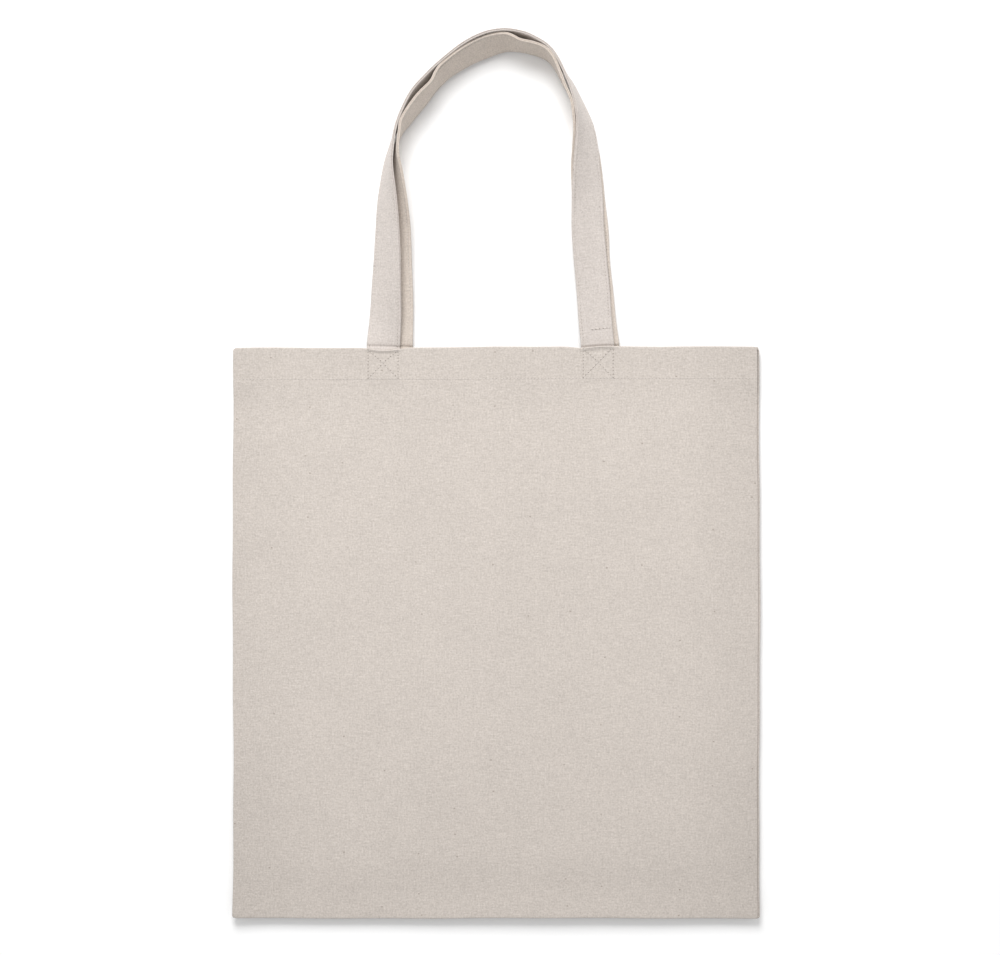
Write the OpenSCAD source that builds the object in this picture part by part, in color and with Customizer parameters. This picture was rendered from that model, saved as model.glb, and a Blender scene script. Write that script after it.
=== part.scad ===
// Canvas tote bag, lying flat on its back with both handles laid up past the mouth.
// X runs across the bag, Y from the bottom seam to the mouth, Z up from the table.
// The origin is the middle of the back panel's outer face. Millimetres.

/* [Body] */
// Width across the side seams
body_w = 380; // [280:1:480]
// Height from the bottom seam to the mouth
body_h = 412; // [320:1:520]
// Thickness of the bag as it lies, outer face to outer face
body_t = 9; // [8:0.5:16]
// Distance from a seam over which the front panel rises to its full height
rise_run = 45; // [30:1:60]

/* [Cloth] */
// Thickness of one layer of canvas
cloth_t = 0.6; // [0.5:0.05:0.7]
// Depth of the turned-in hem at the mouth
hem_w = 25; // [18:1:32]
// Distance from the hem's lower fold to its row of stitches
hem_stitch_in = 2; // [1:0.5:4]
// Width of the seam allowances inside the bag
allowance_w = 10; // [7:1:14]
// Width of a row of stitches
thread_w = 0.6; // [0.4:0.1:1]
// Height of a row of stitches above the cloth
thread_t = 0.25; // [0.15:0.05:0.3]

/* [Handles] */
// Width of the folded handle strap
strap_w = 24; // [18:1:30]
// Thickness of the folded handle strap
strap_t = 2; // [1.5:0.1:2.4]
// Distance between the middles of a handle's two legs
handle_spacing = 152; // [110:1:210]
// Height of the front handle's centre line above the mouth
handle_rise = 226; // [150:1:300]
// Distance of a handle's edge stitching from the strap's edge
edge_stitch_in = 2; // [1.5:0.1:3]
// Distance of the boxed-cross stitching from the strap's edge
cross_in = 1.2; // [0.8:0.1:2]
// Angle that the back handle leans outwards at the top of its loop
lean = 20; // [10:1:30]

/* [Clearances] */
// Gap between a swinging handle and its sewn-in end
hinge_gap = 0.3; // [0.2:0.1:0.6]
// Gap between the front panel and the seam allowances under its edge
seam_gap = 0.3; // [0.2:0.1:0.6]
// Gap between the two handles' rims at the top of the loop
rim_gap = 3.1; // [2:0.1:5]

/* [Hidden] */

canvas = [0.84, 0.8, 0.77];
canvas_inside = [0.78, 0.74, 0.7];
thread = [0.88, 0.86, 0.82];

half_w = body_w / 2;
half_h = body_h / 2;
mouth = half_h;

// A turned-in hem or allowance is two more layers of the cloth.
double_t = 2 * cloth_t;
hem_bottom = mouth - hem_w;
hem_stitch_y = hem_bottom + hem_stitch_in;
// Distance of a seam's lockstitch from the edge, and width of the overcast edge of its allowance
seam_stitch_in = 3;
overlock_w = 4;
// Distance of a handle's edge stitching from its centre line
edge_row_side = strap_w / 2 - edge_stitch_in;

// Heights of the back's layers, from the table up
back_hem_top = cloth_t + double_t;
back_tail_top = back_hem_top + strap_t;
// Heights of the front's layers, from its outer face down
front_under = body_t - cloth_t;
front_hem_under = front_under - double_t;
front_tail_under = front_hem_under - strap_t;

// Height of the front panel's inner face along the seams, and at the hemmed corners
seam_under = cloth_t + double_t + seam_gap;
corner_under = seam_under + double_t;
// Length below the hem over which the seam thickens towards the hemmed corner
hem_lead = 15;
// Stations over each shoulder of the front panel
shoulder_steps = 6;

// The straps' routes. Each point is the centre line's place across the bag, its height above
// the mouth, the gap under the strap's lower edge in strap thicknesses, and the strap's roll:
// 0 lies flat, 90 stands on edge. Across and up are for the spacing and the rise below, and
// the first and last points' gaps come from the sewn-in ends instead.
route_spacing = 152;
front_route_rise = 226;
back_route_rise = 216.8;
FRONT_ROUTE = [
    [-81.7, 0, 0, 0], [-80.4, 20, 1, 16], [-79.2, 44, 0.9, 28], [-78.6, 80, 1.1, 42],
    [-78.2, 106, 1.1, 55], [-76.2, 131, 0.9, 74], [-70.4, 156, 0.8, 86], [-61.4, 180, 0.8, 90],
    [-43, 200, 0.8, 90], [-25, 213, 0.8, 90], [-8, 223, 0.8, 90], [6, 226, 0.8, 90],
    [20, 223.5, 0.8, 90], [32.5, 217, 0.8, 90], [42.5, 208, 0.9, 88], [49.5, 196, 1.1, 78],
    [56, 181, 1.5, 66], [62, 166, 1.65, 54], [65.6, 141, 2.05, 32], [66.6, 106, 2.1, 18],
    [67.8, 62, 2.4, 4], [69.2, 42, 2.6, 0], [71.6, 15, 2.6, 0], [73.4, 0, 0, 0]];
// The roll of the back strap is 90 plus a share of its lean over the top of the loop.
BACK_ROUTE = [
    [-72.4, 0, 0, 0], [-72.2, 20, 0.5, 4], [-72.2, 44, 0.3, 10], [-72.2, 80, 0.25, 22],
    [-72, 108, 0.25, 42], [-70.6, 132, 0.3, 68], [-66.6, 150, 0.5, 88],
    [-57.8, 172, 0.4, 90 + 0.6 * lean], [-39.5, 192.5, 0.4, 90 + 0.8 * lean],
    [-20.5, 205, 0.4, 90 + 0.95 * lean], [-5, 213.3, 0.4, 90 + lean],
    [8, 216.8, 0.3, 90 + 0.8 * lean], [20.5, 215.8, 0.3, 90 + 0.45 * lean],
    [30, 210.8, 0.4, 90 + 0.2 * lean], [38.4, 203.2, 0.4, 88], [45, 192.5, 0.35, 79],
    [52, 178, 0.35, 67], [58.4, 164, 0.4, 54], [64.6, 141, 0.35, 27], [69, 106, 0.4, 10],
    [73, 62, 0.55, 2], [74.4, 42, 0.7, 0], [76.4, 15, 0.8, 0], [77, 0, 0, 0]];
back_rise = handle_rise - strap_t - rim_gap - strap_w / 2 * sin(lean);
// Stations to each stretch between two points of a route
route_steps = 3;

function unit(v) = v / norm(v);
// Height of the centre line over the table, for a strap rolled by an angle
function centre_z(gap, roll) = gap + strap_w / 2 * sin(roll) + strap_t / 2 * abs(cos(roll));

// Places the points of a route: places, gap of the sewn ends, and the loop's rise
function placed(route, end_gap, rise_scale) = [
    for (i = [0:len(route) - 1]) let (
        p = route[i],
        sewn = i == 0 || i == len(route) - 1,
        gap = sewn ? end_gap : p[2] * strap_t
    ) [p[0] * handle_spacing / route_spacing,
       mouth + (sewn ? hinge_gap : p[1] * rise_scale),
       centre_z(gap, p[3]), p[3]]];

// A Catmull-Rom curve through the points, with route_steps stations to each stretch
function curve_at(a, b, c, d, t) = 0.5 * (2 * b + (c - a) * t
    + (2 * a - 5 * b + 4 * c - d) * t * t + (3 * b - a - 3 * c + d) * t * t * t);
function stations(p) = let (n = len(p) - 1) [
    for (i = [0:n - 1], j = [0:route_steps - 1]) curve_at(
        i == 0 ? 2 * p[0] - p[1] : p[i - 1], p[i], p[i + 1],
        i == n - 1 ? 2 * p[n] - p[n - 1] : p[i + 2], j / route_steps),
    p[n]];
function place_of(s) = [s[0], s[1], s[2]];
// Direction of travel at a station. Both ends leave the mouth squarely.
function travel(s, i) = i == 0 ? [0, 1, 0] : i == len(s) - 1 ? [0, -1, 0]
    : unit(place_of(s[i + 1]) - place_of(s[i - 1]));

front_path = stations(placed(FRONT_ROUTE, front_tail_under, handle_rise / front_route_rise));
back_path = stations(placed(BACK_ROUTE, back_hem_top, back_rise / back_route_rise));
front_left_x = front_path[0][0];
front_right_x = front_path[len(front_path) - 1][0];
back_left_x = back_path[0][0];
back_right_x = back_path[len(back_path) - 1][0];

// A flat strip of thickness t along a path, moved up off the strap's middle layer by up. Its
// section has a corner on each face at each of the given distances from the centre line, which
// start nearest the inside of the loop.
module strip_along(path, edges, t, up = 0) {
    last = len(path) - 1;
    section = concat([for (e = edges) [e, 1]], [for (i = [len(edges) - 1:-1:0]) [edges[i], -1]]);
    corners = len(section);
    points = [for (i = [0:last]) let (
        along = travel(path, i),
        roll = path[i][3],
        inward = unit(cross(along, [0, 0, 1])),
        upward = cross(inward, along),
        across = inward * cos(roll) + upward * sin(roll),
        off = upward * cos(roll) - inward * sin(roll))
        for (c = section) place_of(path[i]) + across * c[0] + off * (up + c[1] * t / 2)];
    // Each twisted wall is cut into triangles along the same diagonal on both faces, so that a
    // row of stitches lies on the strap without a gap.
    walls = [for (i = [0:last - 1], j = [0:corners - 1]) let (
        k = (j + 1) % corners, a = corners * i + j, b = corners * i + k)
        each (section[j][0] > section[k][0] ? [[a, b, b + corners], [a, b + corners, a + corners]]
            : [[a, b, a + corners], [b, b + corners, a + corners]])];
    polyhedron(points, concat(walls, [[for (j = [corners - 1:-1:0]) j],
        [for (j = [0:corners - 1]) corners * last + j]]), convexity = 6);
}

// Edges of the row of edge stitching on one side of a strap
function row_edges(side) = [for (e = [1, -1]) side * edge_row_side + e * thread_w / 2];

// A handle's strap, with corners where the rows of stitches lie on it
module strap(path) {
    strip_along(path, concat(strap_w / 2, row_edges(1), row_edges(-1), -strap_w / 2), strap_t);
}

// Both faces of one row of a handle's edge stitching
module edge_rows(path, side) {
    for (face = [-1, 1])
        strip_along(path, row_edges(side), thread_t, face * (strap_t + thread_t) / 2);
}

// Share of the full rise at a distance from a seam: a round shoulder, then flat
function shoulder(d) = d >= rise_run ? 1 : 1 - pow(1 - d / rise_run, 2);
// Height of the front panel's inner face
function edge_under(y) = seam_under + (corner_under - seam_under)
    * min(1, max(0, (y - (hem_bottom - hem_lead)) / hem_lead));
function under(x, y) = let (edge = edge_under(y)) edge
    + (front_under - edge) * shoulder(half_w - abs(x)) * shoulder(y + half_h);

// Stations across and up the front panel, closer together on the shoulders
shoulder_grid = [for (i = [0:shoulder_steps]) rise_run * pow(i / shoulder_steps, 1.5)];
grid_x = concat([for (d = shoulder_grid) -half_w + d],
    [for (i = [shoulder_steps:-1:0]) half_w - shoulder_grid[i]]);
grid_y = concat([for (d = shoulder_grid) -half_h + d], [hem_bottom - hem_lead, hem_bottom, mouth]);

// A layer of the front between two heights over its inner face, on a grid of stations
module front_layer(xs, ys, low, high) {
    nx = len(xs);
    ny = len(ys);
    points = [for (level = [low, high], y = ys, x = xs) [x, y, under(x, y) + level]];
    top = nx * ny;
    cells = [for (j = [0:ny - 2], i = [0:nx - 2]) j * nx + i];
    lower = [for (a = cells) each [[a, a + 1, a + nx + 1], [a, a + nx + 1, a + nx]]];
    upper = [for (f = lower) [top + f[0], top + f[2], top + f[1]]];
    rim = concat([for (i = [0:nx - 2]) i], [for (j = [0:ny - 2]) j * nx + nx - 1],
        [for (i = [nx - 1:-1:1]) (ny - 1) * nx + i], [for (j = [ny - 1:-1:1]) j * nx]);
    sides = [for (i = [0:len(rim) - 1]) let (a = rim[i], b = rim[(i + 1) % len(rim)])
        each [[a, top + b, b], [a, top + a, top + b]]];
    polyhedron(points, concat(lower, upper, sides), convexity = 4);
}

// A boxed cross of stitches, as tall as the hem, round the middle of a handle end
module boxed_cross(x, z) {
    box_w = strap_w - 2 * cross_in;
    box_h = hem_w - hem_stitch_in - cross_in;
    slant = atan2(box_h - thread_w, box_w - thread_w);
    diagonal = norm([box_w - thread_w, box_h - thread_w]);
    translate([x, hem_stitch_y + box_h / 2, z])
        linear_extrude(thread_t) {
            difference() {
                square([box_w, box_h], center = true);
                square([box_w - 2 * thread_w, box_h - 2 * thread_w], center = true);
            }
            for (turn = [-slant, slant]) rotate(turn) square([diagonal, thread_w], center = true);
        }
}

// A slab given by its lowest corner and its highest one
module slab(low, high) {
    translate(low) cube(high - low);
}

// The sewn-in end of a handle, inside the hem
module tail(x, z) {
    slab([x - strap_w / 2, hem_bottom, z], [x + strap_w / 2, mouth, z + strap_t]);
}

module back_panel() {
    color(canvas) slab([-half_w, -half_h, 0], [half_w, half_h, cloth_t]);
}

module back_top_hem() {
    color(canvas_inside) slab([-half_w, hem_bottom, cloth_t], [half_w, mouth, back_hem_top]);
}

// The stitches show on the hem between the sewn-in handle ends and outside them.
module back_hem_thread() {
    left = back_left_x - strap_w / 2;
    right = back_right_x + strap_w / 2;
    color(thread) for (run = [[-half_w, left], [left + strap_w, right - strap_w], [right, half_w]])
        slab([run[0], hem_stitch_y - thread_w / 2, back_hem_top],
            [run[1], hem_stitch_y + thread_w / 2, back_hem_top + thread_t]);
}

module back_left_tail() {
    color(canvas_inside) tail(back_left_x, back_hem_top);
}

module back_right_tail() {
    color(canvas_inside) tail(back_right_x, back_hem_top);
}

module back_left_cross_stitch() {
    color(thread) boxed_cross(back_left_x, back_tail_top);
}

module back_right_cross_stitch() {
    color(thread) boxed_cross(back_right_x, back_tail_top);
}

// Side allowances run from the bottom allowance to the hem, pressed onto the back panel.
module side_allowance(side) {
    x = side * (half_w - allowance_w / 2);
    slab([x - allowance_w / 2, -half_h + allowance_w, cloth_t],
        [x + allowance_w / 2, hem_bottom, cloth_t + double_t]);
}

module left_side_allowance() {
    color(canvas_inside) side_allowance(-1);
}

module right_side_allowance() {
    color(canvas_inside) side_allowance(1);
}

module bottom_allowance() {
    color(canvas_inside)
        slab([-half_w, -half_h, cloth_t], [half_w, -half_h + allowance_w, cloth_t + double_t]);
}

module side_row(side, inset, w) {
    x = side * (half_w - inset);
    slab([x - w / 2, -half_h + allowance_w, cloth_t + double_t],
        [x + w / 2, hem_bottom, cloth_t + double_t + thread_t]);
}

module left_side_thread() {
    color(thread) side_row(-1, seam_stitch_in, thread_w);
}

module right_side_thread() {
    color(thread) side_row(1, seam_stitch_in, thread_w);
}

module bottom_thread() {
    y = -half_h + seam_stitch_in;
    color(thread) slab([-half_w + allowance_w, y - thread_w / 2, cloth_t + double_t],
        [half_w - allowance_w, y + thread_w / 2, cloth_t + double_t + thread_t]);
}

// The overcast threads wrap the allowances' raw edges.
module left_overlock() {
    color(thread) side_row(-1, allowance_w - overlock_w / 2, overlock_w);
}

module right_overlock() {
    color(thread) side_row(1, allowance_w - overlock_w / 2, overlock_w);
}

module bottom_overlock() {
    y = -half_h + allowance_w;
    color(thread) slab([-half_w + allowance_w, y - overlock_w, cloth_t + double_t],
        [half_w - allowance_w, y, cloth_t + double_t + thread_t]);
}

module front_panel() {
    color(canvas) front_layer(grid_x, grid_y, 0, cloth_t);
}

module front_top_hem() {
    color(canvas_inside) front_layer(grid_x, [hem_bottom, mouth], -double_t, 0);
}

module front_hem_thread() {
    color(thread) front_layer(grid_x, [hem_stitch_y - thread_w / 2, hem_stitch_y + thread_w / 2],
        cloth_t, cloth_t + thread_t);
}

module front_left_tail() {
    color(canvas_inside) tail(front_left_x, front_tail_under);
}

module front_right_tail() {
    color(canvas_inside) tail(front_right_x, front_tail_under);
}

// The boxed crosses stop short of the hem's own row, so the two rows stay separate.
module front_left_cross_stitch() {
    color(thread) translate([0, thread_w, 0]) boxed_cross(front_left_x, body_t);
}

module front_right_cross_stitch() {
    color(thread) translate([0, thread_w, 0]) boxed_cross(front_right_x, body_t);
}

module front_handle_strap() {
    color(canvas) strap(front_path);
}

module front_handle_inner_stitch() {
    color(thread) edge_rows(front_path, 1);
}

module front_handle_outer_stitch() {
    color(thread) edge_rows(front_path, -1);
}

module back_handle_strap() {
    color(canvas) strap(back_path);
}

module back_handle_inner_stitch() {
    color(thread) edge_rows(back_path, 1);
}

module back_handle_outer_stitch() {
    color(thread) edge_rows(back_path, -1);
}

back_panel();
back_top_hem();
back_hem_thread();
back_left_tail();
back_right_tail();
back_left_cross_stitch();
back_right_cross_stitch();
left_side_allowance();
right_side_allowance();
bottom_allowance();
left_side_thread();
right_side_thread();
bottom_thread();
left_overlock();
right_overlock();
bottom_overlock();
front_panel();
front_top_hem();
front_hem_thread();
front_left_tail();
front_right_tail();
front_left_cross_stitch();
front_right_cross_stitch();
front_handle_strap();
front_handle_inner_stitch();
front_handle_outer_stitch();
back_handle_strap();
back_handle_inner_stitch();
back_handle_outer_stitch();
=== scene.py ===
"""A natural canvas tote bag, lying flat on its back with both handles looped up past the mouth.

The script follows the bag as it is put together: the table and the light, the back cloth, the seams
inside, the front cloth, the stitching, and then the two handles.
"""
import bisect
import functools
import math

import bmesh
import bpy
import numpy as np
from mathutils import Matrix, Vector, noise


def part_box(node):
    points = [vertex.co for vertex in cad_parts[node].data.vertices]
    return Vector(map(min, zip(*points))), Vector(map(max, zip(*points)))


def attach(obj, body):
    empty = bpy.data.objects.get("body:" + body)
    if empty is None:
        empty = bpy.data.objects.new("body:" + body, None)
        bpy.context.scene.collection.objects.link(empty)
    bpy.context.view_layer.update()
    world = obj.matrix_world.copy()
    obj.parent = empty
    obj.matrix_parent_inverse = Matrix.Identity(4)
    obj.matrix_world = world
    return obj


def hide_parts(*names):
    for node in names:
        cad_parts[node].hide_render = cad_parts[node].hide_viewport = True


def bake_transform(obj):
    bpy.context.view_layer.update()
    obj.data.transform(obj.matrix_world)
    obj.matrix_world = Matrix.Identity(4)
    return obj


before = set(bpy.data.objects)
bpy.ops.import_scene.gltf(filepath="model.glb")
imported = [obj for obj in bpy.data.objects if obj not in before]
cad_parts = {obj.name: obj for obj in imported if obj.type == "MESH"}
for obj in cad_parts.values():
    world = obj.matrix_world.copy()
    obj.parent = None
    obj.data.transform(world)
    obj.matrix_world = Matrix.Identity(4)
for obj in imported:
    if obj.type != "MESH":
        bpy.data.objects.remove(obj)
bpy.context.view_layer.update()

mm = 0.001
scene = bpy.context.scene


# ---- The camera, straight over the bag ----
# A long lens looks straight down from 1.7 m, over the middle of the body and handles together.
eye = Vector((2.6 * mm, 112.3 * mm, 1.7))
camera = bpy.data.objects.new("camera", bpy.data.cameras.new("camera"))
camera.data.lens = 84.42
camera.data.sensor_width = 36
camera.location = eye
scene.collection.objects.link(camera)
scene.camera = camera


# ---- The table and the light ----
# A plain white table under a large soft lamp, which hangs beyond the handles and a little to the left.
# A white room fills the rest in, so shadows stay pale and close to the bag.
def finished(name, shape, finish):
    """The object of that name made from a shape, with its finish."""
    mesh = bpy.data.meshes.new(name)
    shape.to_mesh(mesh)
    shape.free()
    mesh.materials.append(finish)
    made = bpy.data.objects.new(name, mesh)
    scene.collection.objects.link(made)
    return made


paint = bpy.data.materials.new("white_table")
paint.use_nodes = True
paint_shader = paint.node_tree.nodes["Principled BSDF"]
paint_shader.inputs["Base Color"].default_value = (0.97, 0.97, 0.97, 1)
paint_shader.inputs["Roughness"].default_value = 0.9
paint_shader.inputs["Specular IOR Level"].default_value = 0.1
plane = bmesh.new()
bmesh.ops.create_grid(plane, x_segments=1, y_segments=1, size=12)
bmesh.ops.translate(plane, verts=plane.verts, vec=(0, 0, -0.1 * mm))
finished("table", plane, paint)

room = bpy.data.worlds.new("room")
room.use_nodes = True
room_light = room.node_tree.nodes["Background"]
room_light.inputs["Color"].default_value = (1, 1, 1, 1)
room_light.inputs["Strength"].default_value = 0.66
scene.world = room

lamp = bpy.data.objects.new("key", bpy.data.lights.new("key", "AREA"))
lamp.data.size = 1.0
lamp.data.energy = 38
lamp.location = (-0.24, 1.6, 1.45)
lamp.rotation_euler = (lamp.location - Vector((0, 0.1, 0))).to_track_quat("Z", "Y").to_euler()
scene.collection.objects.link(lamp)
scene.view_settings.view_transform = "Standard"


# ---- The back cloth ----
# One piece of plain-woven, unbleached cotton canvas, 0.6 mm thick. It lies flat on the table, turns in
# at the side and bottom seams, and folds in twice at the mouth to make a hem.
class Strand:
    """A socket in a material. Sums and products of strands add Math nodes."""

    def __init__(self, tree, socket=None):
        self.tree, self.socket = tree, socket

    def node(self, kind, inputs=(), out=0, stops=(), **settings):
        """A node of that kind, its settings made first and then its sockets; gives one output."""
        made = self.tree.nodes.new("ShaderNode" + kind)
        for name, value in settings.items():
            setattr(made, name, value)
        for i, (place, shade) in enumerate(stops):
            stop = made.color_ramp.elements[i] if i < 2 else made.color_ramp.elements.new(place)
            stop.position = place
            stop.color = (shade, shade, shade, 1)
        for key, value in dict(inputs).items():
            if isinstance(value, Strand):
                self.tree.links.new(value.socket, made.inputs[key])
            else:
                made.inputs[key].default_value = value
        return Strand(self.tree, made.outputs[out])

    def other(self, out):
        """Another output of the same node."""
        return Strand(self.tree, self.socket.node.outputs[out])

    def math(self, operation, *values):
        """A Math node on those values."""
        return self.node("Math", enumerate(values), operation=operation)

    def __add__(self, other):
        return self.math("ADD", self, other)

    def __mul__(self, other):
        return self.math("MULTIPLY", self, other)

    def __sub__(self, other):
        return self.math("SUBTRACT", self, other)

    def __rsub__(self, other):
        return self.math("SUBTRACT", other, self)

    __radd__, __rmul__ = __add__, __mul__

    def ramp(self, *stops):
        """The value read through a ramp of (place, grey) stops."""
        return self.node("ValToRGB", {0: self}, stops=stops)

    def size(self):
        """The value without its sign."""
        return self.math("ABSOLUTE", self)

    def at(self, across, along):
        """A point made from two values."""
        return self.node("CombineXYZ", {0: across, 1: along})

    def grain(self, point, scale, detail=2.0, rough=0.5):
        """Noise from 0 to 1 at a point, with its middle at 0.5."""
        return self.node("TexNoise", {"Vector": point, "Scale": scale, "Detail": detail,
                                      "Roughness": rough}, noise_dimensions="2D")


def canvas_finish(name, colour, painted_edge_shade=0.0):
    """Plain-woven natural cotton canvas. Its yarns, slubs and seed flecks follow the cloth's own
    flat pattern, which each piece keeps in its UV map in metres. With painted edge shade, the cloth is
    given painted shade: a little greyer towards its seams and its mouth, and most at the bottom corners."""
    finish = bpy.data.materials.new(name)
    finish.use_nodes = True
    tree = finish.node_tree
    shader = tree.nodes["Principled BSDF"]
    s = Strand(tree)
    flat = s.node("SeparateXYZ", {0: s.node("UVMap", uv_map="cloth")})
    across, along = flat * 1000, flat.other(1) * 1000       # in millimetres
    # The yarns lie this many millimetres apart, and wander a little from straight.
    yarn = 0.58
    drift = s.grain(s.at(across, along), 0.09, 1) * 0.9
    column = (across + drift) * (1 / yarn)
    row = (along + drift) * (1 / yarn)
    # The crowns of the warp and the weft, over and under by turns
    warp = (column * math.pi).math("SINE", column * math.pi)
    weft = (row * math.pi).math("SINE", row * math.pi)
    checker = (warp * weft) * 0.5 + 0.5
    yarn_crowns = warp.size() * weft.size()
    # Yarn to yarn, the cotton is thicker or thinner and lighter or darker for a few millimetres.
    weft_yarn = s.grain(s.at(across * 0.16, row.math("FLOOR", row) * 1.7), 1.0, 1)
    warp_yarn = s.grain(s.at(column.math("FLOOR", column) * 1.7, along * 0.16), 1.0, 1)
    slub = s.grain(s.at(across * 0.11, along * 1.15), 1.0, 2).ramp((0.60, 0.0), (0.78, 1.0))
    slub_up = s.grain(s.at(across * 1.15 + 90.0, along * 0.11), 1.0, 2).ramp((0.62, 0.0), (0.8, 1.0))
    speckle = s.grain(s.at(across, along), 0.75, 3, 0.62)
    blotch = s.grain(s.at(across, along), 0.028, 2)
    # The weave term in the tone is painted light and shade: lighter on the crowns of the yarns, darker in the
    # gaps between them.
    tone = (1.0 + (weft_yarn - 0.5) * 0.22 + (warp_yarn - 0.5) * 0.16 + (speckle - 0.5) * 0.46
            + (blotch - 0.5) * 0.06 + slub * 0.05 + slub_up * 0.03 + (yarn_crowns - 0.41) * 0.05)
    # Painted shade: by the painted edge shade's share, the tone darkens towards the side seams, the bottom
    # and the mouth, and most at the bottom corners.
    at_side = (across.size() * (mm / half_w)).ramp((0.70, 0.0), (1.0, 1.0))
    at_foot = (along * (-mm / half_h)).ramp((0.30, 0.0), (1.0, 1.0))
    at_mouth = (along * (mm / half_h)).ramp((0.70, 0.0), (0.95, 1.0))
    tone = tone - (at_side * 0.05 + at_foot * 0.045 + at_side * at_foot * 0.06 + at_mouth * 0.05) * painted_edge_shade
    # Flecks of seed coat are spun in here and there: a few are large, and most are tiny.
    where = s.at(across * 0.75, along)
    large = s.node("TexVoronoi", {"Vector": where, "Scale": 0.05}, voronoi_dimensions="2D")
    large_pick = s.node("SeparateColor", {0: large.other(1)})
    small = s.node("TexVoronoi", {"Vector": where, "Scale": 0.19}, voronoi_dimensions="2D")
    small_pick = s.node("SeparateColor", {0: small.other(1)})
    seed = (large.ramp((0.016, 1.0), (0.032, 0.0)) * large_pick.ramp((0.80, 0.0), (0.84, 1.0)) * 0.5
            + small.ramp((0.03, 1.0), (0.075, 0.0)) * small_pick.ramp((0.62, 0.0), (0.68, 1.0)) * 0.2)
    plain = s.node("VectorMath", {0: colour, "Scale": tone}, operation="SCALE")
    tanned = s.node("VectorMath", {0: plain, 1: (0.985, 0.955, 0.90)}, operation="MULTIPLY")
    warm = s.node("Mix", {0: speckle.ramp((0.35, 0.35), (0.65, 0.0)), 6: plain, 7: tanned},
                  out=2, data_type="RGBA")
    husk = s.node("Mix", {0: seed, 6: warm, 7: (0.17, 0.12, 0.085, 1)}, out=2, data_type="RGBA")
    tree.links.new(husk.socket, shader.inputs["Base Color"])
    tree.links.new((0.93 - yarn_crowns * 0.06).socket, shader.inputs["Roughness"])
    height = checker * 0.05 + yarn_crowns * 0.10 + slub * 0.05 + slub_up * 0.04 + speckle * 0.12
    bump = s.node("Bump", {"Height": height, "Distance": mm, "Strength": 0.8})
    tree.links.new(bump.socket, shader.inputs["Normal"])
    shader.inputs["Specular IOR Level"].default_value = 0.12
    shader.inputs["Sheen Weight"].default_value = 0.15
    shader.inputs["Sheen Roughness"].default_value = 0.6
    return finish


half_w, half_h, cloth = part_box("back_panel")[1]
hem_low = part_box("front_top_hem")[0].y
hem_deep = half_h - hem_low
stitch_y = (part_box("front_hem_thread")[0].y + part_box("front_hem_thread")[1].y) / 2
seam_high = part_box("front_panel")[0].z + cloth      # the seams' thickness, outer face to outer face
corner_high = seam_high + 2 * cloth                 # and at the hemmed corners
mouth_turn = cloth                                  # middle radius of the fold at the mouth
root_left = sum(v.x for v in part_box("front_left_tail")) / 2
root_right = sum(v.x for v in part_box("front_right_tail")) / 2
tuck = 1.6 * mm                                     # how far the cloth runs on behind a seam
roll_in = 1.35 * mm                                 # how far the rolled right seam is in from the edge
# The body's canvas is given the painted shade towards its edges in full.
canvas = canvas_finish("natural_canvas", (0.592, 0.539, 0.496), painted_edge_shade=1.0)


def ease(t):
    """0 below 0, 1 above 1, and a smooth climb between."""
    t = max(0.0, min(1.0, t))
    return t * t * (3 - 2 * t)


def bell(d, width):
    """1 at 0, falling smoothly away to both sides."""
    return math.exp(-(d / width) ** 2)


def seam_height(y):
    """Thickness of the side seams, which grows over the hem."""
    return seam_high + (corner_high - seam_high) * ease((y - hem_low + 15 * mm) / (15 * mm))


def settled(x, y):
    """Where a point of the flat pattern lies once the sewn edges have drawn a little out of true."""
    side, up = x / half_w, y / half_h
    wander = 0.35 * math.sin(y / (47 * mm) + (1.1 if x > 0 else 3.9)) \
        + 0.16 * math.sin(y / (13 * mm) + (0.3 if x > 0 else 2.0))
    x += (wander + math.copysign(0.45, x)) * mm * abs(side) ** 6
    sag = 0.25 * math.sin(x / (41 * mm) + 0.6) + 0.14 * math.sin(x / (12.5 * mm) + 1.9)
    y += ((0.6 + 0.65 * side) * max(0, up) ** 2 + sag * abs(up) ** 12) * mm
    near_mouth = ease(1 + (y - half_h) / (9 * mm))
    y -= near_mouth * mm * (2.3 * bell(x - root_left - 1 * mm, 12 * mm) + 1.3 * bell(x - 62 * mm, 8 * mm))
    # The corners are turned out with a blunt point, so they are round by about 2 mm.
    round_off = 2.4 * mm
    dx, dy = abs(x) - half_w + round_off, abs(y) - half_h + round_off
    if dx > 0 and dy > 0:
        pull = max(dx, dy) / math.hypot(dx, dy)
        x = math.copysign(half_w - round_off + dx * pull, x)
        y = math.copysign(half_h - round_off + dy * pull, y)
    return x, y


def turned(past, radius):
    """How far out and how far over a cloth is, at a distance past the start of a half-turn fold."""
    if past <= 0:
        return past, 0.0
    if past < math.pi * radius:
        return radius * math.sin(past / radius), radius * (1 - math.cos(past / radius))
    return math.pi * radius - past, 2 * radius


def stations(*runs):
    """Places along a cloth, from runs of (start, end, spacing)."""
    places = []
    for start, end, spacing in runs:
        count = max(1, round((end - start) / spacing))
        places += [start + (end - start) * i / count for i in range(count)]
    return places + [runs[-1][1]]


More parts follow.
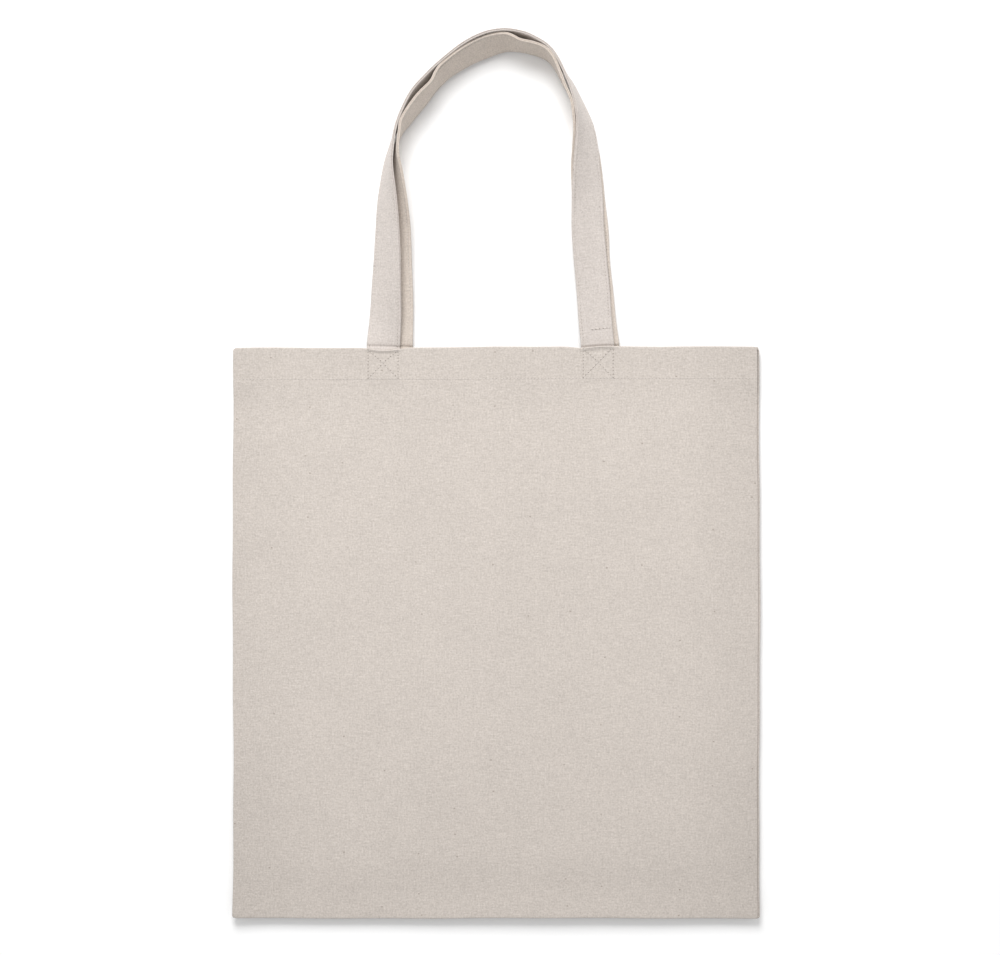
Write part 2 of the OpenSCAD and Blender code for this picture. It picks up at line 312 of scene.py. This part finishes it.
def cloth_grid(name, across, along, place, finish, thickness=None, flat=lambda a, b: (a, b)):
    """A cloth with those stations each way, every point put where place(a, b) says. Its flat
    pattern is kept as its UV map, and Solidify gives it its thickness."""
    sheet = bmesh.new()
    bmesh.ops.create_grid(sheet, x_segments=len(across) - 1, y_segments=len(along) - 1, size=0.5)
    pattern = sheet.loops.layers.uv.new("cloth")
    spots = {v: (across[round((v.co.x + 0.5) * (len(across) - 1))],
                 along[round((v.co.y + 0.5) * (len(along) - 1))]) for v in sheet.verts}
    for face in sheet.faces:
        face.smooth = True
        for corner in face.loops:
            corner[pattern].uv = flat(*spots[corner.vert])
    for v, spot in spots.items():
        v.co = place(*spot)
    for edge in sheet.edges:
        edge.smooth = not edge.is_boundary
    made = finished(name, sheet, finish)
    if thickness:
        layer = made.modifiers.new("thickness", "SOLIDIFY")
        layer.thickness = thickness
        layer.offset = 0
    return made


def edge_lift(x, y):
    """How far the stiff seams hold the bag's side and bottom edges up off the table."""
    foot = 4.6 * ease(1 - (y + half_h) / (40 * mm)) * (1 + 0.12 * math.sin(x / (52 * mm) + 0.8))
    side = 2.3 * ease(1 - (half_w - abs(x)) / (36 * mm)) * (1 + 0.15 * math.sin(y / (61 * mm) + x * 9))
    return math.hypot(foot, side) * mm


def back_height(x, y):
    """Height of the back cloth's outer face: it lies on the table, and lifts a little in places."""
    calm = ease((half_w - abs(x)) / (30 * mm)) * ease((half_h - abs(y)) / (30 * mm))
    wave = 0.12 * mm * calm * (1 + math.sin(x / (37 * mm) + 1) * math.sin(y / (44 * mm)))
    return wave + edge_lift(x, y)


def back_at(x, y, height=0.0):
    """A point at a height over the back cloth's outer face."""
    px, py = settled(x, y)
    return Vector((px, py, back_height(x, y) + height))


def back_place(a, b):
    """The back cloth: flat, with a rolled right seam, a plain left and bottom seam, and the hem."""
    past_mouth = b - (half_h - mouth_turn - cloth / 2)
    inner = ease(past_mouth / (math.pi * mouth_turn))
    high = seam_height(b)
    radius = (high / 2 if a > 0 else high / 4) - cloth / 2
    squeeze = roll_in / high if a > 0 else 1.0     # the roll is taller than it is wide
    start = half_w - radius * squeeze - cloth / 2
    out, over = turned(abs(a) - start, radius)
    x = start + out * (squeeze if abs(a) > start else 1)
    if a > 0:   # past the roll, the cloth dips into the seam
        over -= 0.8 * mm * ease((abs(a) - start - 0.8 * math.pi * radius) / (1.1 * mm))
    x = x * (1 - inner) + abs(a) * (half_w - 3 * mm) / (half_w + 4 * mm) * inner
    over *= 1 - inner
    out, turn = turned(past_mouth, mouth_turn)
    y = half_h - mouth_turn - cloth / 2 + out
    seam_turn = seam_high / 4 - cloth / 2
    start = half_h - seam_turn - cloth / 2
    out, under = turned(-b - start, seam_turn)
    if -b > start:
        y = -start - out
    return back_at(math.copysign(x, a), y, cloth / 2 + over + turn + under)


edge_run = (half_w - 3 * mm, half_w + 4 * mm, 0.35 * mm)
foot_run = (-half_h - tuck, -half_h + 2.1 * mm, 0.3 * mm)
body_run = (-half_h + 2.1 * mm, hem_low - 6 * mm, 3 * mm)
hem_run = (hem_low - 6 * mm, half_h - 1.5 * mm, 1 * mm)
turn_run = (half_h - 1.5 * mm, half_h + 1.5 * mm, 0.3 * mm)
inner_run = (half_h + 1.5 * mm, 2 * half_h - hem_low + 1 * mm, 2 * mm)
along_panel = stations(foot_run, body_run, hem_run, turn_run, inner_run)
right_half = stations((0, edge_run[0], 2.6 * mm), edge_run)
whole_width = [-a for a in reversed(right_half)] + right_half[1:]

back = cloth_grid("back_panel_cloth", whole_width, along_panel, back_place, canvas, cloth)
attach(back, "back_side")
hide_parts("back_panel")

# The raw edge of the back hem is turned up inside its fold, as a middle layer of the same cloth.
hem_across = stations((-half_w + 4 * mm, half_w - 4 * mm, 3 * mm))
hem_along = stations((hem_low + 0.5 * mm, half_h - 1.6 * mm, 2 * mm))
back_hem = cloth_grid("back_hem_cloth", hem_across, hem_along,
                      lambda a, b: back_at(a, b, 1.5 * cloth), canvas, cloth * 0.96)
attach(back_hem, "back_side")
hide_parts("back_top_hem")

# Each panel is cut with a 10 mm seam allowance at its sides and bottom, and 50 mm for the hem.
allowance = 10 * mm


# ---- The seam allowances inside the bag ----
# The 10 mm of both cloths beyond each seam, pressed onto the back cloth inside the bag. Each is two
# layers, and each raw edge is bound by overcast stitches.
def allowance_strip(name, low, high, node):
    """Two layers of cloth between two corners of the plan."""
    across = stations((low[0], high[0], max(0.8 * mm, (high[0] - low[0]) / 130)))
    along = stations((low[1], high[1], max(0.8 * mm, (high[1] - low[1]) / 130)))

    def place(a, b):
        loose = 0.12 * mm * math.sin(a / (9 * mm) + b / (11 * mm))
        return back_at(a, b, 2 * cloth + loose)
    made = cloth_grid(name, across, along, place, canvas, 1.9 * cloth)
    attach(made, "back_side")
    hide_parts(node)
    return made


side_in = half_w - allowance
edge_in = 2 * mm
for side, word in ((-1, "left"), (1, "right")):
    xs = sorted((side * (half_w - edge_in), side * side_in))
    allowance_strip(word + "_allowance_cloth", (xs[0], -half_h + allowance),
                                      (xs[1], hem_low), word + "_side_allowance")
allowance_strip("bottom_allowance_cloth", (-half_w + edge_in, -half_h + edge_in),
                                  (half_w - edge_in, -half_h + allowance), "bottom_allowance")


# ---- The front cloth ----
# The same canvas as the back. It is held down along the seams and rises in a round shoulder to lie
# flat over the middle. It is made in two halves that meet unseen. The mouth edge is folded in twice,
# 25 mm deep, and sewn.
front_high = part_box("front_panel")[1].z
rise_run = 45 * mm


def shoulder(d):
    """The share of its full height that the front has reached at that distance from a seam."""
    return 1.0 if d >= rise_run else 1 - (1 - max(0.0, d) / rise_run) ** 2


def front_height(x, y):
    """Height of the front cloth's outer face."""
    edge = seam_height(y) + edge_lift(x, y)
    full = shoulder(half_w - abs(x)) * shoulder(y + half_h)
    lie = 0.30 * math.sin(x / (29 * mm) + 0.4) * math.sin(y / (41 * mm) + 1.1) \
        + 0.18 * math.sin((x + 0.6 * y) / (19 * mm)) \
        + 0.9 * noise.noise(Vector((x * 14, y * 11, 3.7)))
    # The stitched row draws the hem in, with small puckers along it.
    row = y - stitch_y
    pucker = -0.06 * bell(row, 1.1 * mm) + 0.10 * math.sin(x / (1.45 * mm) + 2 * math.sin(x / (17 * mm))) \
        * bell(row, 5 * mm) * ease((half_w - abs(x)) / (12 * mm))
    step = -0.10 * ease((hem_low - y) / (4 * mm))
    # The handle ends lie under the hem, and lift it a little.
    over_left = ease((13.5 * mm - abs(x - root_left)) / (3 * mm))
    over_right = ease((13.5 * mm - abs(x - root_right)) / (3 * mm))
    lip = 0.95 * bell(y - half_h, 1.8 * mm) - 0.22 * bell(y - half_h + 3.1 * mm, 1.0 * mm)
    ends = (over_left + over_right) * (0.25 * ease((y - hem_low + 2 * mm) / (4 * mm)) + lip)
    return edge + (front_high - edge) * full + (lie * full + pucker + step + ends) * mm


def front_at(x, y, depth=0.0):
    """A point at a depth below the front cloth's outer face."""
    px, py = settled(x, y)
    return Vector((px, py, front_height(x, y) - depth))


def front_place(a, b):
    """The front cloth: its seams turn in at the sides and bottom, and its mouth edge folds over."""
    past_mouth = b - (half_h - mouth_turn - cloth / 2)
    inner = ease(past_mouth / (math.pi * mouth_turn))
    radius = seam_height(b) / 4 - cloth / 2
    start = half_w - radius - cloth / 2 - (roll_in if a > 0 else 0)
    out, down = turned(abs(a) - start, radius)
    x = (start + out) * (1 - inner) + abs(a) * (half_w - 3 * mm) / (half_w + 2 * mm) * inner
    down *= 1 - inner
    out, turn = turned(past_mouth, mouth_turn)
    y = half_h - mouth_turn - cloth / 2 + out
    seam_turn = seam_high / 4 - cloth / 2
    start = half_h - seam_turn - cloth / 2
    out, under = turned(-b - start, seam_turn)
    if -b > start:
        y = -start - out
    return front_at(math.copysign(x, a), y, cloth / 2 + down + turn + under)


def opens(piece):
    """The piece's place, baked into its mesh."""
    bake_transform(piece)


def one_side(side, places):
    """Places measured from the middle, on that side, in rising order."""
    return places if side > 0 else [-a for a in reversed(places)]


front_half = stations((0, half_w - 4.5 * mm, 2.6 * mm), (half_w - 4.5 * mm, half_w + 2 * mm, 0.35 * mm))
front_hem_half = stations((0, half_w - 4 * mm, 2.6 * mm))
for side, word in ((-1, "left"), (1, "right")):
    front = cloth_grid(f"front_panel_{word}_half", one_side(side, front_half), along_panel,
                       front_place, canvas, cloth)
    hem = cloth_grid(f"front_hem_{word}_half", one_side(side, front_hem_half), hem_along,
                     lambda a, b: front_at(a, b, 1.5 * cloth), canvas, cloth * 0.96)
    for piece, node in ((front, "front_panel"), (hem, "front_top_hem")):
        opens(piece)
        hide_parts(node)


# ---- The stitching of the body ----
# Natural cotton thread, lockstitched 10 to the inch. Each stitch is a short proud grain, with
# painted shade at both ends where it sinks into the cloth, and most rows have a needle hole between
# stitches, a flat dark grain of painted shade. One row holds each hem, boxed crosses hold the handle
# ends, a row closes each seam, and overcast loops bind raw edges.
def thread_finish():
    """Soft two-ply cotton thread, with painted shade where it sinks into its holes."""
    finish = bpy.data.materials.new("cotton_thread")
    finish.use_nodes = True
    tree = finish.node_tree
    shader = tree.nodes["Principled BSDF"]
    s = Strand(tree)
    spot = s.node("TexCoord", out=3)
    painted_hole_shade = s.node("Attribute", out=2, attribute_name="painted_hole_shade")
    fuzz = s.node("TexNoise", {"Vector": spot, "Scale": 2600.0, "Detail": 2.0})
    ply = s.node("TexWave", {"Vector": spot, "Scale": 900.0, "Distortion": 3.0}, out=1,
                 bands_direction="DIAGONAL")
    lit = s.node("VectorMath", {0: (0.63, 0.585, 0.545), "Scale": 0.9 + fuzz * 0.2}, operation="SCALE")
    # Painted shade: the attribute darkens the thread towards its ends and over its needle holes.
    colour = s.node("Mix", {0: painted_hole_shade, 6: lit, 7: (0.20, 0.16, 0.13, 1)}, out=2, data_type="RGBA")
    tree.links.new(colour.socket, shader.inputs["Base Color"])
    tree.links.new((fuzz * 0.1 + 0.75).socket, shader.inputs["Roughness"])
    bump = s.node("Bump", {"Height": ply * 0.6 + fuzz * 0.4, "Distance": 0.05 * mm, "Strength": 0.6})
    tree.links.new(bump.socket, shader.inputs["Normal"])
    shader.inputs["Specular IOR Level"].default_value = 0.2
    return finish


thread = thread_finish()
pitch = 2.5 * mm
grain_shape = bmesh.new()
bmesh.ops.create_uvsphere(grain_shape, u_segments=6, v_segments=6, radius=1)
grain_points = np.array([v.co for v in grain_shape.verts])
grain_faces = [[v.index for v in face.verts] for face in grain_shape.faces]
grain_shape.free()


class Sewing:
    """Rows of stitches that make one piece. Every stitch and hole is a copy of one small grain."""

    def __init__(self):
        self.points, self.hole_shades = [], []

    def lump(self, middle, axes, sizes, painted_shade):
        """A grain of those half sizes on those axes, the last of which runs along the row."""
        spread = np.array([list(axis * size) for axis, size in zip(axes, sizes)])
        self.points.append(np.array(middle) + grain_points @ spread)
        # Painted shade: each grain darkens towards both tips, and a hole grain is dark all over.
        tip = np.clip((np.abs(grain_points[:, 2]) - 0.8) / 0.2, 0, 1)
        self.hole_shades.append(np.maximum(painted_shade, 0.75 * tip))

    def stitch(self, start, end, up, width, proud, hole):
        """One stitch between two needle holes, and the hole at its start, which is a flat dark grain of
        painted shade.
        """
        along = (end - start).normalized()
        side = up.cross(along).normalized()
        axes = (side, along.cross(side), along)
        self.lump((start + end) / 2 + up * proud * 0.15, axes,
                  (width / 2, proud, (end - start).length * 0.46), 0.0)
        if hole:
            self.lump(start + up * 0.01 * mm, axes, (hole, 0.05 * mm, hole * 0.95), 0.85)

    def row(self, start, end, surface, width=0.5 * mm, proud=0.28 * mm, hole=0.0, step=pitch):
        """A row of stitches between two places of a pattern. surface(place) gives point and up."""
        count = max(1, round((end - start).length / step))
        marks = [surface(start.lerp(end, i / count)) for i in range(count + 1)]
        for (here, up), (there, _) in zip(marks, marks[1:]):
            self.stitch(here, there, up, width, proud, hole)

    def piece(self, name, node):
        """All the rows as one piece, which stands for that node."""
        mesh = bpy.data.meshes.new(name)
        starts = range(0, len(self.points) * len(grain_points), len(grain_points))
        mesh.from_pydata(np.concatenate(self.points).tolist(), [],
                         [[i + start for i in face] for start in starts for face in grain_faces])
        mesh.attributes.new("painted_hole_shade", "FLOAT", "POINT").data.foreach_set("value", np.concatenate(self.hole_shades))
        mesh.shade_smooth()
        mesh.materials.append(thread)
        made = bpy.data.objects.new(name, mesh)
        scene.collection.objects.link(made)
        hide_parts(node)
        return made


def on_front(spot):
    """The front's outer face at a place, and the way up off it."""
    d = 0.4 * mm
    here = front_at(spot.x, spot.y)
    return here, (front_at(spot.x + d, spot.y) - here).cross(front_at(spot.x, spot.y + d) - here).normalized()


def in_front(spot):
    """The inner face of the front hem, and the way out of it, into the bag."""
    return front_at(spot.x, spot.y, 3 * cloth), Vector((0, 0, -1))


def in_back(height):
    """A surface inside the bag, at a height over the back's outer face."""
    return lambda spot: (back_at(spot.x, spot.y, height), Vector((0, 0, 1)))


def under_back(spot):
    """The back's outer face, and the way out of it, towards the table."""
    return back_at(spot.x, spot.y), Vector((0, 0, -1))


hem_end = half_w - 2.4 * mm
for side, word in ((-1, "left"), (1, "right")):
    sewing = Sewing()
    for surface in (on_front, in_front):
        sewing.row(Vector((side * 0.2 * mm, stitch_y, 0)), Vector((side * hem_end, stitch_y, 0)), surface,
                   proud=0.2 * mm, hole=0.15 * mm)
    row = sewing.piece(f"front_hem_stitches_{word}", "front_hem_thread")
    opens(row)

sewing = Sewing()
for surface in (in_back(3 * cloth), under_back):
    sewing.row(Vector((-hem_end, stitch_y, 0)), Vector((hem_end, stitch_y, 0)), surface, hole=0.24 * mm)
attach(sewing.piece("back_hem_stitches", "back_hem_thread"), "back_side")

for panel, body in (("front", "front_side"), ("back", "back_side")):
    for word in ("left", "right"):
        low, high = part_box(f"{panel}_{word}_cross_stitch")
        corners = [Vector((x, y, 0)) for x, y in ((low.x, low.y), (high.x, low.y), (high.x, high.y),
                                                  (low.x, high.y))]
        sewing = Sewing()
        faces = (on_front,) if panel == "front" else (in_back(high.z - 0.15 * mm), under_back)
        for surface in faces:
            for i, j in ((0, 1), (2, 3)):       # the rows along the hem and the mouth sink in
                sewing.row(corners[i], corners[j], surface, width=0.4 * mm, proud=0.14 * mm)
            for i, j in ((1, 2), (3, 0), (0, 2), (1, 3)):
                sewing.row(corners[i], corners[j], surface, hole=0.4 * mm)
        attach(sewing.piece(f"{panel}_{word}_boxed_cross", f"{panel}_{word}_cross_stitch"), body)

allowance_top = in_back(3 * cloth)
for side, word in ((-1, "left"), (1, "right")):
    x = side * (half_w - 3 * mm)
    sewing = Sewing()
    sewing.row(Vector((x, -half_h + allowance, 0)), Vector((x, hem_low, 0)), allowance_top)
    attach(sewing.piece(word + "_seam_stitches", word + "_side_thread"), "back_side")
    sewing = Sewing()
    zigzag = [Vector((side * (side_in + (4 * mm if i % 2 else 0)), y, 0)) for i, y in
              enumerate(stations((-half_h + allowance, hem_low, 1.5 * mm)))]
    for a, b in zip(zigzag, zigzag[1:]):
        sewing.row(a, b, allowance_top, 0.45 * mm, 0.25 * mm, step=5 * mm)
    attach(sewing.piece(word + "_overcast_edge", word + "_overlock"), "back_side")
sewing = Sewing()
foot = -half_h + 3 * mm
sewing.row(Vector((-half_w + allowance, foot, 0)), Vector((half_w - allowance, foot, 0)), allowance_top)
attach(sewing.piece("bottom_seam_stitches", "bottom_thread"), "back_side")
sewing = Sewing()
zigzag = [Vector((x, -half_h + allowance - (4 * mm if i % 2 else 0), 0)) for i, x in
          enumerate(stations((-half_w + allowance, half_w - allowance, 1.5 * mm)))]
for a, b in zip(zigzag, zigzag[1:]):
    sewing.row(a, b, allowance_top, 0.45 * mm, 0.25 * mm, step=5 * mm)
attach(sewing.piece("bottom_overcast_edge", "bottom_overlock"), "back_side")


# ---- The handles ----
# Each is a strip of the same canvas, folded in four to a 24 mm strap and sewn along both edges. Its
# ends are sewn inside the hem. Each strap leaves the mouth flat, rolls on edge over the top of the
# loop, and comes down flat again, with the back handle inside the front one.
# The back handle's canvas is warmer and a little lighter than the front's: painted light, standing in for the
# warm light bounced into its shade.
strap_canvas = {"front": canvas_finish("front_strap_canvas", (0.584, 0.534, 0.502)),
                "back": canvas_finish("back_strap_canvas_painted_warm_light", (0.626, 0.556, 0.496))}
strap_w = 24 * mm
strap_t = 2.0 * mm
edge_row = strap_w / 2 - 2 * mm

# Across and up from the mouth in mm, gap under the lower edge in strap thicknesses, roll in degrees
FRONT_ROUTE = (
    (-81.7, 0, 0, 0), (-80.4, 20, 1, 16), (-79.2, 44, 0.9, 28), (-78.6, 80, 1.1, 42),
    (-78.7, 106, 1.1, 55), (-78.1, 129, 0.9, 73), (-75.8, 143, 0.85, 81), (-73.1, 154.5, 0.8, 87),
    (-68.8, 164.7, 0.8, 93), (-59.5, 181.1, 0.8, 100), (-49.7, 192.3, 0.8, 100), (-38.9, 204.4, 0.8, 93),
    (-24.3, 216.3, 0.8, 90), (-9, 224, 0.8, 90), (5.5, 226.4, 0.8, 90), (18.6, 223.5, 0.8, 96),
    (28.1, 219, 0.8, 98), (37, 213.9, 0.8, 94), (44.3, 205.5, 0.8, 90), (52.8, 191, 0.9, 80.5),
    (58.4, 178.1, 1.1, 74.3), (61.9, 167.4, 1.4, 66), (64, 157, 1.6, 56), (65.1, 142.5, 1.85, 44),
    (65.3, 128, 1.95, 35), (65.7, 106, 2.1, 20), (66.1, 85, 2.3, 12), (67.6, 63, 2.5, 5),
    (69.9, 42, 2.6, 0), (71.4, 20, 2.6, 0), (73.4, 0, 0, 0))
BACK_ROUTE = (
    (-72.4, 0, 0, 0), (-71.9, 20, 0.5, 4), (-72.3, 44, 0.3, 10), (-72.9, 63, 0.25, 15),
    (-73.2, 85, 0.25, 23), (-72.9, 104, 0.25, 40), (-73.4, 126, 0.4, 60), (-73, 140, 0.6, 76),
    (-69.3, 154.6, 0.8, 91), (-65.4, 162.8, 0.9, 102), (-54.1, 177.8, 1, 106), (-45.2, 188, 1, 101),
    (-40.9, 193.9, 1, 107), (-35.3, 200, 1, 111), (-20.4, 210.1, 1.1, 117), (-6.5, 216.6, 1.2, 119),
    (5.8, 219.5, 1.1, 114), (16.8, 217.1, 0.9, 101), (26, 215.2, 0.9, 101), (34.9, 211.6, 0.9, 99),
    (42, 203.8, 0.8, 91), (49.2, 188.6, 0.7, 86), (55.2, 177, 0.6, 80), (58.8, 167, 0.45, 70),
    (61.8, 157, 0.4, 57), (64.2, 142, 0.35, 36), (65, 128, 0.35, 22), (66.8, 106, 0.4, 10),
    (69, 85, 0.45, 5), (70.3, 63, 0.55, 2), (72.5, 42, 0.7, 0), (74.7, 20, 0.8, 0), (77, 0, 0, 0))


class StrapLine:
    """The middle line of a strap from one sewn-in end to the other, with the strap's own axes."""

    def __init__(self, route, sewn_z, tail_low):
        points = []
        for i, (across, up, gap, roll) in enumerate(route):
            sewn = i in (0, len(route) - 1)
            tilt = math.radians(roll)
            z = sewn_z if sewn else (gap * strap_t + strap_w / 2 * math.sin(tilt)
                                     + strap_t / 2 * abs(math.cos(tilt)))
            points.append((across * mm, half_h + up * mm, z, tilt))
        first, last = points[0], points[-1]
        points = [(first[0], tail_low, *first[2:])] + points + [(last[0], tail_low, *last[2:])]
        self.marks = self.smooth(points)
        self.reach = [0.0]
        for a, b in zip(self.marks, self.marks[1:]):
            self.reach.append(self.reach[-1] + (Vector(b[:3]) - Vector(a[:3])).length)
        self.length = self.reach[-1]

    @staticmethod
    def smooth(p, steps=8):
        """A Catmull-Rom curve through the points."""
        marks = []
        for i in range(len(p) - 1):
            ends = (p[max(i - 1, 0)], p[i], p[i + 1], p[min(i + 2, len(p) - 1)])
            for j in range(steps):
                t = j / steps
                marks.append([0.5 * (2 * b + (c - a) * t + (2 * a - 5 * b + 4 * c - d) * t * t
                                     + (3 * b - a - 3 * c + d) * t ** 3) for a, b, c, d in zip(*ends)])
        return marks + [list(p[-1])]

    @functools.lru_cache(maxsize=None)
    def at(self, s):
        """The middle, travel, across and outward axes at a length along the strap."""
        s = max(0.0, min(self.length, s))
        i = min(bisect.bisect_right(self.reach, s), len(self.reach) - 1) - 1
        share = (s - self.reach[i]) / (self.reach[i + 1] - self.reach[i])
        here = [a + (b - a) * share for a, b in zip(self.marks[i], self.marks[i + 1])]
        # The way along is blended from the ways at the marks before and after.
        before, this, after, beyond = (Vector(self.marks[max(0, min(j, len(self.marks) - 1))][:3])
                                       for j in (i - 1, i, i + 1, i + 2))
        way = (after - before).normalized().lerp((beyond - this).normalized(), share).normalized()
        inward = way.cross(Vector((0, 0, 1))).normalized()
        upward = inward.cross(way)
        roll = here[3]
        across = inward * math.cos(roll) + upward * math.sin(roll)
        off = upward * math.cos(roll) - inward * math.sin(roll)
        return Vector(here[:3]), way, across, off


# The strap's section, in millimetres across and off its middle. The edge that ends up on the rim is
# two folds with a groove between, the other is one round fold, and each stitched row is sunk.
upper_face = ((12.02, 0.52), (11.85, 0.86), (11.4, 1.08), (10.8, 1.1), (10.35, 1.0), (10.0, 0.84),
              (9.65, 1.0), (9.1, 1.1), (7.0, 1.13), (4.0, 1.1), (0.0, 1.08), (-4.0, 1.1), (-7.0, 1.13),
              (-9.1, 1.1), (-9.65, 1.0), (-10.0, 0.84), (-10.35, 1.0), (-10.9, 1.08), (-11.5, 0.9),
              (-11.88, 0.5))
section = (((11.3, 0.02), (11.75, 0.16)) + upper_face + ((-12.0, 0.0),)
           + tuple((a, -b) for a, b in reversed(upper_face)) + ((11.75, -0.16),))


def strap_piece(name, line, wander, finish):
    """The strap's cloth: its section carried along its line, closed along one side and at both ends."""
    around = list(range(len(section) + 1))
    leave, enter = hem_deep, line.length - hem_deep         # where the strap passes the mouth
    along = stations((0, leave, 2 * mm), (leave, leave + 3 * mm, 0.5 * mm),
                     (leave + 3 * mm, enter - 3 * mm, 2 * mm),
                     (enter - 3 * mm, enter, 0.5 * mm),
                     (enter, line.length, 2 * mm))
    girth = [0.0]
    for i in around[1:]:
        (a, b), (c, d) = section[i - 1], section[i % len(section)]
        girth.append(girth[-1] + math.hypot(c - a, d - b) * mm)

    def place(s, i):
        a, b = section[round(i) % len(section)]
        middle, _, across, off = line.at(s)
        a += 0.18 * math.sin(s / (21 * mm) + wander) + 0.10 * math.sin(s / (7.3 * mm) + 2 * wander)
        b -= 0.75 * bell(min(s, line.length - s) - leave - 0.9 * mm, 1.0 * mm)     # pinched by the mouth
        b += 0.10 * math.sin(s / (16 * mm) + a * 0.21 + wander) + 0.06 * math.sin(s / (5 * mm) + a * 0.5)
        return middle + across * a * mm + off * b * mm
    strip = cloth_grid(name, along, around, place, finish,
                       flat=lambda s, i: (girth[round(i)], s))
    shape = bmesh.new()
    shape.from_mesh(strip.data)
    bmesh.ops.remove_doubles(shape, verts=shape.verts, dist=0.005 * mm)
    bmesh.ops.holes_fill(shape, edges=[e for e in shape.edges if e.is_boundary], sides=0)
    bmesh.ops.recalc_face_normals(shape, faces=shape.faces)
    shape.to_mesh(strip.data)
    shape.free()
    return strip


def swings(piece):
    """The piece's place, baked into its mesh."""
    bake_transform(piece)


for panel, route, wander in (("front", FRONT_ROUTE, 0.7), ("back", BACK_ROUTE, 2.9)):
    low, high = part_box(f"{panel}_left_tail")
    line = StrapLine(route, (low.z + high.z) / 2, hem_low)
    strap = strap_piece(f"{panel}_handle_cloth", line, wander, strap_canvas[panel])
    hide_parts(f"{panel}_handle_strap", f"{panel}_left_tail", f"{panel}_right_tail")
    swings(strap)
    for row_name, side in (("inner", 1), ("outer", -1)):
        sewing = Sewing()
        for face in (1, -1):
            def on_strap(spot, line=line, side=side, face=face):
                middle, _, across, off = line.at(spot.x)
                return middle + across * side * edge_row + off * face * 0.86 * mm, off * face
            first = hem_deep + 1 * mm
            sewing.row(Vector((first, 0, 0)), Vector((line.length - first, 0, 0)), on_strap,
                       width=0.45 * mm, proud=0.24 * mm, hole=0.22 * mm)
        if (panel, row_name) == ("front", "inner"):
            # A short row of larger holes crosses the strap, just above its right root.
            middle, _, across, off = line.at(line.length - hem_deep - 13.4 * mm)
            sewing.row(across * 3 * mm, across * -10.5 * mm,
                       lambda spot: (middle + spot + off * 1.22 * mm, off), hole=0.42 * mm)
        rows = sewing.piece(f"{panel}_handle_{row_name}_stitches", f"{panel}_handle_{row_name}_stitch")
        swings(rows)
